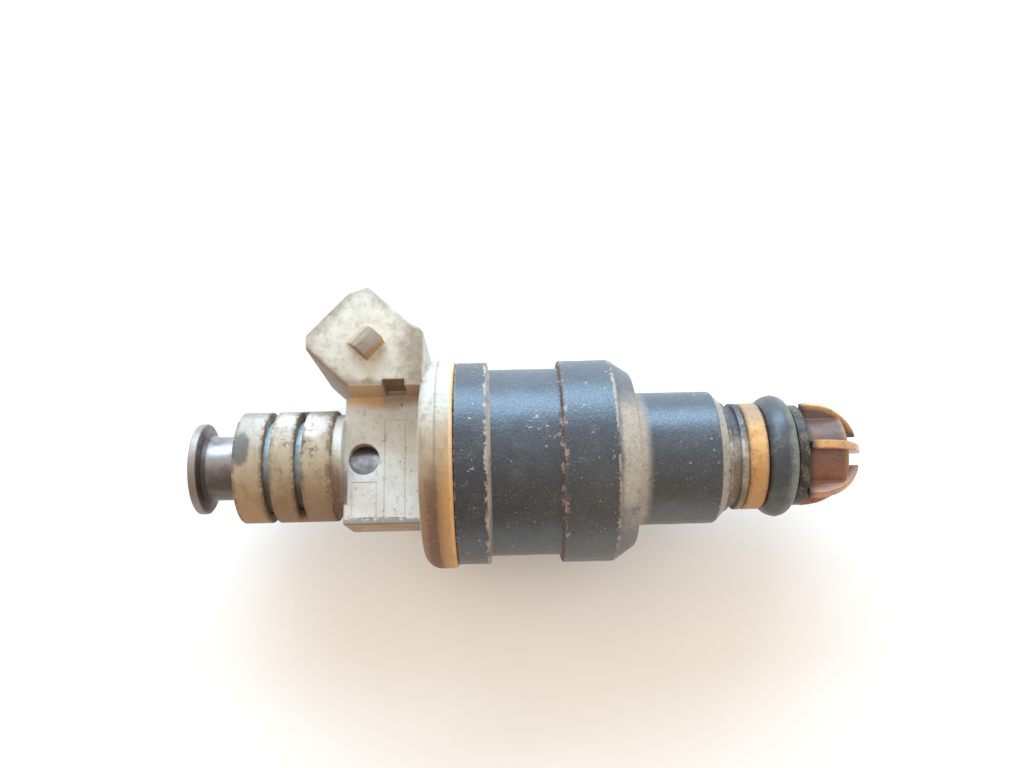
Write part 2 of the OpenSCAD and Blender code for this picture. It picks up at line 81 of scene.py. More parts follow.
def placeCamera(s):
    roll, up = math.radians(s["roll"]), math.radians(s["lookUp"])
    right, twist = math.radians(s["lookRight"]), math.radians(s["twist"])
    away = Vector((0, -math.sin(roll), math.cos(roll)))
    side = Vector((0, math.cos(roll), math.sin(roll)))
    along = Vector((1, 0, 0))
    forward = -away * math.cos(up) + side * math.sin(up)
    upright = along.cross(forward).normalized()
    forward = forward * math.cos(right) + along * math.sin(right)
    level = forward.cross(upright).normalized()
    cameraX = level * math.cos(twist) + upright * math.sin(twist)
    cameraY = upright * math.cos(twist) - level * math.sin(twist)
    data = bpy.data.cameras.new("camera")
    data.lens = s["lens"]
    data.sensor_width = s["sensor"]
    data.clip_start, data.clip_end = s["clip"]
    camera = bpy.data.objects.new("camera", data)
    scene.collection.objects.link(camera)
    turn = Matrix((cameraX, cameraY, -forward)).transposed().to_4x4()
    spot = Vector((s["aimAt"] * mm, 0, 0)) + away * s["distance"] * mm
    camera.matrix_world = Matrix.Translation(spot) @ turn
    scene.camera = camera


placeCamera(cameraSettings)
print("camera placed")


# a new node in a tree: its settings come first, then the values or links of its sockets
def addNode(tree, kind, settings=None, inputs=None):
    made = tree.nodes.new("ShaderNode" + kind)
    for key, value in (settings or {}).items():
        setattr(made, key, value)
    for key, value in (inputs or {}).items():
        value = getattr(value, "socket", value)
        if isinstance(value, bpy.types.NodeSocket):
            tree.links.new(value, made.inputs[key])
        else:
            made.inputs[key].default_value = value
    return made


# a number that varies over a surface: + - * / ** on it add Math nodes
class Val:
    def __init__(self, paint, socket):
        self.paint, self.socket = paint, socket

    def calc(self, operation, *terms):
        inputs = {i: getattr(t, "socket", t) for i, t in enumerate(terms)}
        return Val(self.paint, self.paint.node("Math", {"operation": operation}, inputs).outputs[0])

    def __add__(self, other):
        return self.calc("ADD", self, other)

    def __radd__(self, other):
        return self.calc("ADD", other, self)

    def __sub__(self, other):
        return self.calc("SUBTRACT", self, other)

    def __rsub__(self, other):
        return self.calc("SUBTRACT", other, self)

    def __mul__(self, other):
        return self.calc("MULTIPLY", self, other)

    def __rmul__(self, other):
        return self.calc("MULTIPLY", other, self)

    def __truediv__(self, other):
        return self.calc("DIVIDE", self, other)

    def __rtruediv__(self, other):
        return self.calc("DIVIDE", other, self)

    def __pow__(self, other):
        return self.calc("POWER", self, other)

    def __rpow__(self, other):
        return self.calc("POWER", other, self)

    def __neg__(self):
        return self.calc("MULTIPLY", self, -1.0)

    def absolute(self):
        return self.calc("ABSOLUTE", self)

    def root(self):
        return self.calc("SQRT", self)

    def top(self, other):
        return self.calc("MAXIMUM", self, other)

    def low(self, other):
        return self.calc("MINIMUM", self, other)

    # smooth step from lowest at start to highest at end
    def rise(self, start, end, lowest=0.0, highest=1.0):
        ramp = self.paint.node("MapRange", {"interpolation_type": "SMOOTHSTEP"}, {
            "Value": self.socket, "From Min": start, "From Max": end,
            "To Min": lowest, "To Max": highest})
        return Val(self.paint, ramp.outputs[0])

    # smooth step from 1 at start down to 0 at end
    def fall(self, start, end):
        return self.rise(start, end, 1.0, 0.0)

    # 1 within half of centre, fading over soft
    def band(self, centre, half, soft):
        return (self - centre).absolute().fall(half, half + soft)


# one material, whose x, y, z and r (off the axis) are in mm and whose nx, ny, nz are the facing
class Paint:
    def __init__(self, name, **constants):
        self.material = bpy.data.materials.new(name)
        self.material.use_nodes = True
        self.tree = self.material.node_tree
        self.shader = self.tree.nodes["Principled BSDF"]
        for socket, value in constants.items():
            self.shader.inputs[socket.replace("_", " ")].default_value = value
        place = self.node("TexCoord").outputs["Object"]
        scaled = self.node("VectorMath", {"operation": "SCALE"}, {0: place, "Scale": 1 / mm})
        self.place = scaled.outputs[0]
        parts = self.node("SeparateXYZ", {}, {0: self.place}).outputs
        self.x, self.y, self.z = (Val(self, part) for part in parts)
        facing = self.node("SeparateXYZ", {}, {0: self.node("NewGeometry").outputs["Normal"]}).outputs
        self.nx, self.ny, self.nz = (Val(self, part) for part in facing)
        self.r = (self.y * self.y + self.z * self.z).root()

    def node(self, kind, settings=None, inputs=None):
        return addNode(self.tree, kind, settings, inputs)

    # the place divided by scale along x, y and z, moved so that each seed has its own pattern
    def pattern(self, scale, shift):
        return self.node("Mapping", {}, {
            "Vector": self.place, "Location": shift, "Scale": tuple(1 / s for s in scale)}).outputs[0]

    # noise with lumps of about size mm, lengthened along x, y, z by stretch
    def noise(self, size, detail=3.0, roughness=0.55, stretch=(1, 1, 1), seed=0.0):
        scale = [size * k for k in stretch]
        made = self.node("TexNoise", {}, {
            "Vector": self.pattern(scale, (seed * 7.3, seed * 3.1, seed * 5.7)),
            "Scale": 1.0, "Detail": detail, "Roughness": roughness})
        return Val(self, made.outputs["Fac"])

    # scattered round dots, whose radius is limit times their spacing of size mm
    def specks(self, size, limit, seed=0.0):
        cells = self.node("TexVoronoi", {"feature": "F1"}, {
            "Vector": self.pattern([size] * 3, (seed * 3.7, seed * 9.1, seed * 2.3)), "Scale": 1.0})
        return Val(self, cells.outputs["Distance"]).fall(limit * 0.6, limit)

    # squared distance from (x, y), where halfX and halfY are 1
    def oval(self, x, y, halfX, halfY):
        return ((self.x - x) / halfX) ** 2 + ((self.y - y) / halfY) ** 2

    # colour that goes from first to second as share goes from 0 to 1
    def mix(self, share, first, second):
        blend = self.node("Mix", {"data_type": "RGBA", "clamp_factor": True})
        for index, value in ((0, share), (6, first), (7, second)):
            value = getattr(value, "socket", value)
            if isinstance(value, bpy.types.NodeSocket):
                self.tree.links.new(value, blend.inputs[index])
            elif index == 0:
                blend.inputs[0].default_value = value
            else:
                blend.inputs[index].default_value = (*value, 1.0)
        return blend.outputs[2]

    # joins what varies to the shader; height is in units of depth, which is in mm
    def finish(self, colour=None, roughness=None, metallic=None, height=None, depth=0.05):
        for name, value in (("Base Color", colour), ("Roughness", roughness), ("Metallic", metallic)):
            if value is not None:
                self.tree.links.new(getattr(value, "socket", value), self.shader.inputs[name])
        if height is not None:
            bump = self.node("Bump", {}, {"Height": height, "Strength": 1.0, "Distance": depth * mm})
            self.tree.links.new(bump.outputs[0], self.shader.inputs["Normal"])
        return self.material


# where the CAD puts a node, as its low and its high corner in mm
def span(node):
    low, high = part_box(node)
    return [v / mm for v in low], [v / mm for v in high]


shellLow, shellHigh = span("housing_shell")
tubeLow, tubeHigh = span("inlet_tube")
backupLow, backupHigh = span("backup_ring")
sealLow, sealHigh = span("lower_seal_ring")
washerBack = span("support_washer")[0][0]
stemR = 3.78                    # mm, the stem inside the rings


def addPiece(name, points, faces, material, smoothAngle=40):
    mesh = bpy.data.meshes.new(name)
    mesh.vertices.add(len(points))
    mesh.vertices.foreach_set("co", (points * mm).astype(np.float32).ravel())
    sides = faces.shape[1]
    mesh.loops.add(faces.size)
    mesh.loops.foreach_set("vertex_index", faces.astype(np.int32).ravel())
    mesh.polygons.add(len(faces))
    mesh.polygons.foreach_set("loop_start", np.arange(0, faces.size, sides, dtype=np.int32))
    mesh.update(calc_edges=True)
    mesh.validate()
    return showPiece(name, mesh, material, smoothAngle)


def showPiece(name, mesh, material, smoothAngle):
    mesh.polygons.foreach_set("use_smooth", np.ones(len(mesh.polygons), dtype=bool))
    mesh.set_sharp_from_angle(angle=math.radians(smoothAngle))
    mesh.materials.clear()
    mesh.materials.append(material)
    piece = bpy.data.objects.new(name, mesh)
    scene.collection.objects.link(piece)
    return piece


# closed outline in which each corner (x, r, radius) has become an arc of that radius
def roundOff(corners, steps=6):
    points = []
    for i, (x, r, radius) in enumerate(corners):
        here = np.array([x, r])
        if radius <= 0:
            points.append(here)
            continue
        back = np.array(corners[i - 1][:2]) - here
        ahead = np.array(corners[(i + 1) % len(corners)][:2]) - here
        back, ahead = back / np.linalg.norm(back), ahead / np.linalg.norm(ahead)
        half = math.acos(np.clip(np.dot(back, ahead), -1, 1)) / 2
        reach = radius / math.tan(half)
        middle = here + (back + ahead) / np.linalg.norm(back + ahead) * radius / math.sin(half)
        first, last = here + back * reach - middle, here + ahead * reach - middle
        share = np.linspace(0, 1, steps + 1)[:, None]
        arc = first * (1 - share) + last * share
        arc *= radius / np.linalg.norm(arc, axis=1, keepdims=True)
        points.extend(middle + arc)
    return np.array(points)


# the closed outline with extra points, none further apart than step
def fillIn(outline, step):
    after = np.roll(outline, -1, axis=0)
    counts = np.maximum(1, np.ceil(np.linalg.norm(after - outline, axis=1) / step)).astype(int)
    start = np.repeat(np.arange(len(outline)), counts)
    first = np.concatenate([[0], np.cumsum(counts)[:-1]])
    share = (np.arange(counts.sum()) - np.repeat(first, counts)) / np.repeat(counts, counts)
    return outline[start] + (after[start] - outline[start]) * share[:, None]


# smooth unevenness about 0, up to about 1: a sum of cosines of x and of whole turns of a
def waves(x, a, size, count, seed):
    rng = np.random.default_rng(seed)
    mostTurns = int(40 / size) + 1
    along = rng.uniform(-1, 1, count) * 2 * np.pi / size
    around = rng.integers(-mostTurns, mostTurns + 1, count)
    phase = rng.uniform(0, 2 * np.pi, count)
    total = sum(np.cos(along[i] * x + around[i] * a + phase[i]) for i in range(count))
    return total / math.sqrt(count)


# point (u, a) is (x(u), R sin a, R cos a), where R is r(u) plus rough(x, r, a)
def revolve(name, outline, material, turns, rough):
    x, r = outline[:, 0], outline[:, 1]
    area = np.sum(x * np.roll(r, -1) - np.roll(x, -1) * r)
    if area < 0:
        outline = outline[::-1]     # so that the faces point outwards
    x, r = outline[:, 0][:, None], outline[:, 1][:, None]
    a = np.linspace(0, 2 * np.pi, turns, endpoint=False)[None, :]
    radius = r + rough(x, r, a)
    grid = np.stack([x + 0 * a, radius * np.sin(a), radius * np.cos(a)], axis=-1)
    rows = len(outline)
    row, col = np.meshgrid(np.arange(rows), np.arange(turns), indexing="ij")
    nextRow, nextCol = (row + 1) % rows, (col + 1) % turns
    quads = np.stack([row * turns + col, row * turns + nextCol,
                      nextRow * turns + nextCol, nextRow * turns + col], axis=-1).reshape(-1, 4)
    return addPiece(name, grid.reshape(-1, 3), quads, material)


# bevels the edges that are sharper than angle and whose middle, in mm, is chosen
def roundEdges(work, width, segments, angle, chosen):
    sharp = [e for e in work.edges if len(e.link_faces) == 2
             and e.calc_face_angle(0) > math.radians(angle)
             and chosen((e.verts[0].co + e.verts[1].co) / 2 / mm)]
    bmesh.ops.bevel(work, geom=sharp, offset=width * mm, offset_type="OFFSET", segments=segments,
                    profile=0.5, affect="EDGES", clamp_overlap=False)


# a copy of a CAD node's mesh, merged and flattened, with its sharp edges rounded pass by pass
def refined(name, node, material, passes):
    mesh = frame["nodes"][node].data.copy()
    mesh.name = name
    if "custom_normal" in mesh.attributes:
        mesh.attributes.remove(mesh.attributes["custom_normal"])
    work = bmesh.new()
    work.from_mesh(mesh)
    bmesh.ops.remove_doubles(work, verts=work.verts, dist=2e-6)
    bmesh.ops.dissolve_limit(work, angle_limit=math.radians(0.5), verts=work.verts, edges=work.edges)
    for width, segments, angle, chosen in passes:
        roundEdges(work, width, segments, angle, chosen)
    bmesh.ops.triangulate(work, faces=[f for f in work.faces if len(f.verts) > 4])
    work.to_mesh(mesh)
    work.free()
    return showPiece(name, mesh, material, 35)


def everywhere(middle):
    return True


# gives a piece its body and hides the CAD node that it stands for
def stand(piece, node):
    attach(piece, body)
    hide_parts(node)


# cream moulding: places in mm, colours as linear red, green, blue
creamSettings = {
    "sleeveEnd": -33.7, "flangeStart": -24.4, "headStart": 7.5, "headAngle": 137, "headRoot": -17.0,
    "grooves": (-42.1, -38.5), "sleeveEnds": ((-45.9, 0.1), (-34.9, 0.15)), "link": -33.9,
    "rubbedPale": ((-36.9, 4.1, 1.5, 1.9), (-40.3, 4.9, 1.0, 1.4)),     # x, y and the half sizes
    "smudge": (-45.0, 1.0, 1.15, 2.2), "cracks": (-38.4, 0.5), "pit": (-27.0, 6.4),
    "notch": (-27.45, 7.85), "parting": -22.5, "streak": -22.4, "blockTop": 3.65,
    "fresh": (0.70, 0.71, 0.68), "aged": (0.62, 0.59, 0.52),
    "headPale": (0.66, 0.615, 0.52), "headDull": (0.58, 0.53, 0.43), "rimBrown": (0.24, 0.17, 0.11),
    "rampDirt": (0.235, 0.175, 0.125), "rampEndLit": (0.86, 0.62, 0.33), "rampFootShade": (0.62, 0.42, 0.20),
    "sleeveBase": (0.50, 0.47, 0.39), "tan": (0.40, 0.305, 0.185), "firstRing": (0.33, 0.31, 0.265),
    "honey": (0.40, 0.23, 0.10), "brown": (0.255, 0.135, 0.062), "fibre": (0.30, 0.23, 0.16),
    "grooveDirt": (0.15, 0.10, 0.062), "crack": (0.10, 0.065, 0.04), "rubbedBrown": (0.26, 0.18, 0.105),
    "worn": (0.80, 0.77, 0.69), "soot": (0.085, 0.085, 0.085), "linkPale": (0.74, 0.75, 0.71),
    "linkDark": (0.15, 0.09, 0.055), "under": (0.34, 0.20, 0.105), "mouthSide": (0.22, 0.125, 0.065),
    "amberPale": (0.93, 0.66, 0.40), "amberDeep": (0.88, 0.50, 0.23), "glow": (0.70, 0.40, 0.16),
    "partingDirt": (0.16, 0.11, 0.07), "streakDirt": (0.15, 0.075, 0.05), "seam": (0.17, 0.11, 0.07),
    "backside": (0.22, 0.15, 0.09), "amberShade": (0.66, 0.40, 0.17), "brownShade": (0.42, 0.26, 0.16),
    "edgeDirt": (0.15, 0.12, 0.09), "pitDark": (0.06, 0.035, 0.02), "notchDark": (0.17, 0.095, 0.045),
    "freckle": (0.20, 0.13, 0.08), "grime": (0.32, 0.26, 0.19),
}


# greyer than the block, darker brown along the rims, with dirt on the ramp tops, painted light on the ramps'
# end faces and painted shade on their sides
def headDirtAndPaintedLight(p, s, colour):
    turn = math.radians(s["headAngle"])
    reach = (p.x - s["headRoot"]) * math.cos(turn) + p.y * math.sin(turn)
    across = ((p.x - s["headRoot"]) * math.sin(turn) - p.y * math.cos(turn)).absolute()
    onHead = p.head * (1.0 - p.flange)
    colour = p.mix(p.head, colour, p.mix(p.blotch.rise(0.35, 0.65), s["headPale"], s["headDull"]))
    # darker brown along the head's rims, its right end, its narrow sides and its foot
    rim = (reach + p.blotch * 1.4).rise(23.1, 25.3)
    rim = rim.top((across + p.blotch * 1.6).rise(4.4, 6.4))
    rim = rim.top((p.x + p.blotch * 2.4).rise(-27.0, -23.8))
    rim = rim.top((p.y - p.blotch * 1.1).fall(7.2, 8.1))
    rim = rim.top((p.side - p.blotch * 0.8).fall(7.2, 7.9) * 0.7)
    colour = p.mix(rim * p.head * (0.25 + p.blotch * 0.6 + p.fine * 0.4), colour, s["rimBrown"])
    colour = p.mix(p.side.rise(8.7, 9.4) * onHead * (0.6 + p.blotch * 0.6), colour, s["rampDirt"])
    # painted light: the ramps' end faces that face +x are painted a lit yellow
    colour = p.mix(p.side.rise(8.52, 8.56) * p.nx.rise(0.4, 0.6) * onHead, colour, s["rampEndLit"])
    # painted shade: the ramps' sides are painted amber-brown
    foot = p.side.rise(8.55, 8.8) * p.side.fall(8.9, 9.9)
    return p.mix(foot * onHead * 0.5, colour, s["rampFootShade"])


# worn pale on the connector's side, tan and then brown away from it
def sleeveDirtAndPaintedLight(p, s, colour):
    worn = (p.y * 0.035 + p.blotch * 0.55 + p.big * 0.5).rise(0.50, 0.66)
    tan = p.tan.top(1.0 - worn)
    colour = p.mix(p.turned * 0.35, colour, s["sleeveBase"])
    colour = p.mix(tan * p.turned * 0.88, colour, s["tan"])
    colour = p.mix(p.x.rise(-44.2, -42.6, 0.55, 0.0) * p.y.rise(0.0, 4.0), colour, s["firstRing"])
    deep = (p.y * -1.0 + p.big * 4.0 + p.blotch * 2.0).rise(3.5, 9.5) * p.turned
    colour = p.mix(deep * 0.9, colour, p.mix(p.x.rise(-42.5, -41.5), s["honey"], s["brown"]))
    colour = p.mix(p.streaks.rise(0.5, 0.72) * p.turned * 0.2, colour, s["fibre"])
    # dirt on both sides of the grooves and on the ends of the sleeve
    (back, backHalf), (front, frontHalf) = s["sleeveEnds"]
    rings = p.x.band(s["grooves"][0], 0.5, 0.5) + p.x.band(s["grooves"][1], 0.5, 0.5)
    rings = (rings + p.x.band(back, backHalf, 0.5) + p.x.band(front, frontHalf, 0.5)).low(1.0)
    crumbly = (p.fine * 0.5 + p.blotch * 0.6).rise(0.44, 0.60)
    colour = p.mix(rings * p.sleeve * crumbly * 0.85, colour, s["grooveDirt"])
    colour = p.mix(p.cracks * 0.8, colour, s["crack"])
    rubbed = p.noise(1.8, 5, 0.7, (1, 2, 2), seed=15).rise(0.50, 0.62)
    colour = p.mix(rubbed * p.turned * p.y.fall(0.0, 6.0) * 0.45, colour, s["rubbedBrown"])
    for spot in s["rubbedPale"]:
        away = p.oval(*spot) + p.blotch * 0.8
        colour = p.mix(away.fall(0.5, 1.9) * p.sleeve * 0.85, colour, s["worn"])
    smudge = (p.oval(*s["smudge"]) + p.blotch * 0.9).fall(0.9, 1.6) * p.z.rise(0.0, 2.0)
    colour = p.mix(smudge * (0.65 + p.fine * 0.4), colour, s["soot"])
    # the narrow link between sleeve and block: its upper part is pale, partly clean plastic and partly a
    # painted highlight, and its lower part is a painted shade
    link = p.x.band(s["link"], 0.65, 0.15) * (1.0 - p.head) * p.r.fall(6.3, 6.5)
    colour = p.mix(link * p.y.rise(-1.5, 3.0), colour, s["linkPale"])
    return p.mix(link * (p.y * -1.0 + p.blotch * 2.0).rise(0.5, 4.5) * 0.85, colour, s["linkDark"])


# sides that look away from the connector are warmer: partly stain, partly painted warm shade
def underStainAndShade(p, s, colour):
    # painted warm shade, partly stain: faces that face -y are browner
    under = (-p.ny).rise(0.35, 0.7) * (1.0 - p.turned)
    colour = p.mix(under * (0.5 + p.big * 0.7), colour, s["under"])
    # painted shade, partly stain: the head's sides that face -x and -y are browner
    mouthSide = (-p.nx).rise(0.4, 0.65) * (-p.ny).rise(0.4, 0.65) * p.head * (1.0 - p.flange)
    return p.mix(mouthSide * (0.45 + p.blotch * 0.8), colour, s["mouthSide"])


# amber edge next to the shell, a painted glow in the flange's lower part, the parting line and the stains of
# the flange
def flangeDirtAndGlow(p, s, colour):
    amber = p.x.rise(-21.05, -20.85) * p.flange
    colour = p.mix(amber * 0.85, colour, p.mix(p.big.rise(0.3, 0.7), s["amberPale"], s["amberDeep"]))
    # painted glow: the flange goes amber-orange near the shell, stronger towards the bottom
    glow = p.x.rise(-22.8, -20.9) * (p.y * -1.0 + p.big * 3.0).rise(-3.0, 8.0)
    colour = p.mix(glow * p.flange * 0.75, colour, s["glow"])
    parting = p.x.band(s["parting"], 0.09, 0.12) * p.flange * (0.4 + p.blotch)
    colour = p.mix(parting * 0.45, colour, s["partingDirt"])
    streak = (p.x + p.blotch * 1.2).band(s["streak"], 0.35, 0.5)
    streak = streak * (p.y * -1.0 + p.big * 4.0).rise(4.5, 8.5) * p.flange
    colour = p.mix(streak * 0.7, colour, s["streakDirt"])
    seams = p.noise(1.1, 4, 0.7, (0.45, 3, 3), seed=12).rise(0.54, 0.68)
    colour = p.mix(seams * p.turned * 0.3, colour, s["seam"])
    return p.mix((p.y + p.blotch * 2.0).rise(5.6, 7.0) * p.sleeve * 0.7, colour, s["backside"])


# painted shadow below the head, old dirt along the block's free edge, a pit and the notch
def blockDirtAndShadow(p, s, colour):
    # painted shadow: amber to brown on the block just below the head
    belowHead = (p.y + p.big * 2.2).rise(6.6, 8.2) * (1.0 - p.head) * (1.0 - p.turned)
    shade = p.mix(p.x.rise(-30.0, -28.6), s["amberShade"], s["brownShade"])
    colour = p.mix(belowHead * 0.85, colour, shade)
    edge = (p.y * -1.0 + p.fine * 1.4 + p.blotch * 0.6).rise(7.75, 8.15)
    edge = edge * p.side.band(s["blockTop"], 0.25, 0.3)
    colour = p.mix(edge * (1.0 - p.turned) * 0.7, colour, s["edgeDirt"])
    pit = p.x.band(s["pit"][0], 0.08, 0.06) * p.y.band(s["pit"][1], 0.08, 0.06)
    colour = p.mix(pit * 0.9, colour, s["pitDark"])
    notch = p.x.band(s["notch"][0], 1.2, 0.06) * p.y.band(s["notch"][1], 0.37, 0.05)
    notch = notch * p.side.rise(3.7, 3.75) * p.side.rise(8.35, 8.5, 1.0, 0.45)
    return p.mix(notch, colour, s["notchDark"])


def creamPlastic(s):
    p = Paint("creamPlastic", IOR=1.48, Coat_Roughness=0.3)
    p.head = p.y.rise(s["headStart"] - 0.3, s["headStart"] + 0.3) * p.x.fall(-24.3, -23.9)
    p.sleeve = p.x.fall(s["sleeveEnd"] - 0.3, s["sleeveEnd"] + 0.3) * (1.0 - p.head)
    p.flange = p.x.rise(s["flangeStart"] - 0.2, s["flangeStart"] + 0.2)
    p.turned = (p.sleeve + p.flange).low(1.0) * (1.0 - p.head)
    p.side = p.z.absolute()
    p.big, p.fine = p.noise(3.5, 4), p.noise(0.5, 4, seed=1)
    p.streaks, p.blotch = p.noise(0.5, 3, stretch=(7, 1, 1), seed=2), p.noise(1.3, 5, 0.65, seed=9)
    p.tan = (p.y * -1.0 + p.big * 5.0 + p.blotch * 2.0).rise(-3.0, 4.5)
    cracks = (p.noise(0.9, 5, 0.75, seed=14) - 0.5).absolute().fall(0.006, 0.02)
    crackedPart = p.x.band(s["cracks"][0], 1.6, 1.2) * p.y.band(s["cracks"][1], 2.0, 2.5)
    p.cracks = cracks * crackedPart * p.blotch.rise(0.5, 0.6)

    colour = p.mix(p.big.rise(0.38, 0.68), s["fresh"], s["aged"])
    for marks in (headDirtAndPaintedLight, sleeveDirtAndPaintedLight, underStainAndShade, flangeDirtAndGlow, blockDirtAndShadow):
        colour = marks(p, s, colour)
    freckles = p.specks(0.9, 0.16, 3) * p.big.rise(0.4, 0.6)
    colour = p.mix(freckles * 0.6, colour, s["freckle"])
    colour = p.mix((p.fine * 0.6 + p.blotch * 0.5).rise(0.56, 0.72) * 0.4, colour, s["grime"])
    rough = (0.42 + p.fine * 0.2 + p.tan * 0.15).low(0.8)
    height = p.fine * 0.5 + p.blotch * 0.5 + p.noise(0.12, 2, seed=4) * 0.2 + p.streaks * 0.15 - p.cracks
    return p.finish(colour, rough, None, height, 0.08)


tubeFinish = {
    "lip": -50.9, "lipFoot": -49.9, "collar": (-40.3, 4.4), "window": (-31.0, 3.0),      # mm
    "steel": (0.33, 0.315, 0.32), "stained": (0.205, 0.17, 0.17), "under": (0.095, 0.075, 0.065),
    "rust": (0.16, 0.09, 0.06), "lipColour": (0.44, 0.38, 0.33), "lipFootDark": (0.07, 0.05, 0.045),
    "oxidePale": (0.52, 0.62, 0.64), "oxideDark": (0.36, 0.44, 0.47), "oxideShade": (0.15, 0.095, 0.06),
    "windowPale": (0.52, 0.58, 0.66), "windowDark": (0.27, 0.28, 0.33),
}


def tubeSteel(s):
    p = Paint("tubeSteel", Metallic=1.0)
    turned = p.noise(0.12, 2, stretch=(1, 30, 30))
    stain, blotch = p.noise(2.5, 4, seed=2), p.noise(0.7, 4, seed=3)
    colour = p.mix(stain.rise(0.4, 0.7), s["steel"], s["stained"])
    # darker and browner towards the bottom: painted shade and dark reflection, partly brown stain
    colour = p.mix((p.y * -1.0 + stain * 2.0).rise(0.2, 4.0) * 0.8, colour, s["under"])
    colour = p.mix((stain * 0.5 + blotch * 0.5).rise(0.52, 0.68) * 0.35, colour, s["rust"])
    lip = p.x.band(s["lip"], 0.5, 0.1) * p.r.rise(4.1, 4.6)
    # painted highlight: the lip is painted lighter
    colour = p.mix(lip * 0.6, colour, s["lipColour"])
    # a darker band in the fillet at the lip's foot
    colour = p.mix(p.x.band(s["lipFoot"], 0.15, 0.2) * 0.7, colour, s["lipFootDark"])
    # pale oxide on the collar, which shows in the sleeve's grooves, and the slim tube in the window
    pale = p.x.band(*s["collar"], 0.2)
    colour = p.mix(pale, colour, p.mix(blotch.rise(0.35, 0.65), s["oxidePale"], s["oxideDark"]))
    # painted shade: the collar in the grooves is darker on its lower side
    colour = p.mix(pale * (p.y * -1.0 + stain * 2.0).rise(1.5, 5.5) * 0.9, colour, s["oxideShade"])
    inWindow = p.x.band(*s["window"], 0.3)
    colour = p.mix(inWindow, colour, p.mix(stain.rise(0.4, 0.6), s["windowPale"], s["windowDark"]))
    rough = 0.24 + stain * 0.16 + turned * 0.1 + pale * 0.2 + p.x.fall(-50.0, -49.0) * 0.18
    return p.finish(colour, rough, 1.0 - pale * 0.45, turned * 0.5 + stain * 0.3 + blotch * pale, 0.02)


blackFinish = {
    "dark": (0.014, 0.018, 0.026), "light": (0.034, 0.038, 0.044), "blue": (0.052, 0.076, 0.108),
    "backBand": (0.007, 0.009, 0.015), "violet": (0.040, 0.036, 0.062), "warm": (0.026, 0.020, 0.018),
    "pore": (0.006, 0.007, 0.010), "sparkle": (0.19, 0.195, 0.21), "worn": (0.34, 0.29, 0.225),
    "rust": (0.085, 0.032, 0.02), "crumbs": (0.34, 0.22, 0.165), "dustPale": (0.56, 0.48, 0.385),
    "dustDark": (0.42, 0.355, 0.275), "trail": (0.46, 0.375, 0.28), "haze": (0.16, 0.17, 0.185),
    "settled": (0.25, 0.23, 0.20), "fleck": (0.46, 0.43, 0.38), "scratch": (0.30, 0.29, 0.28),
}
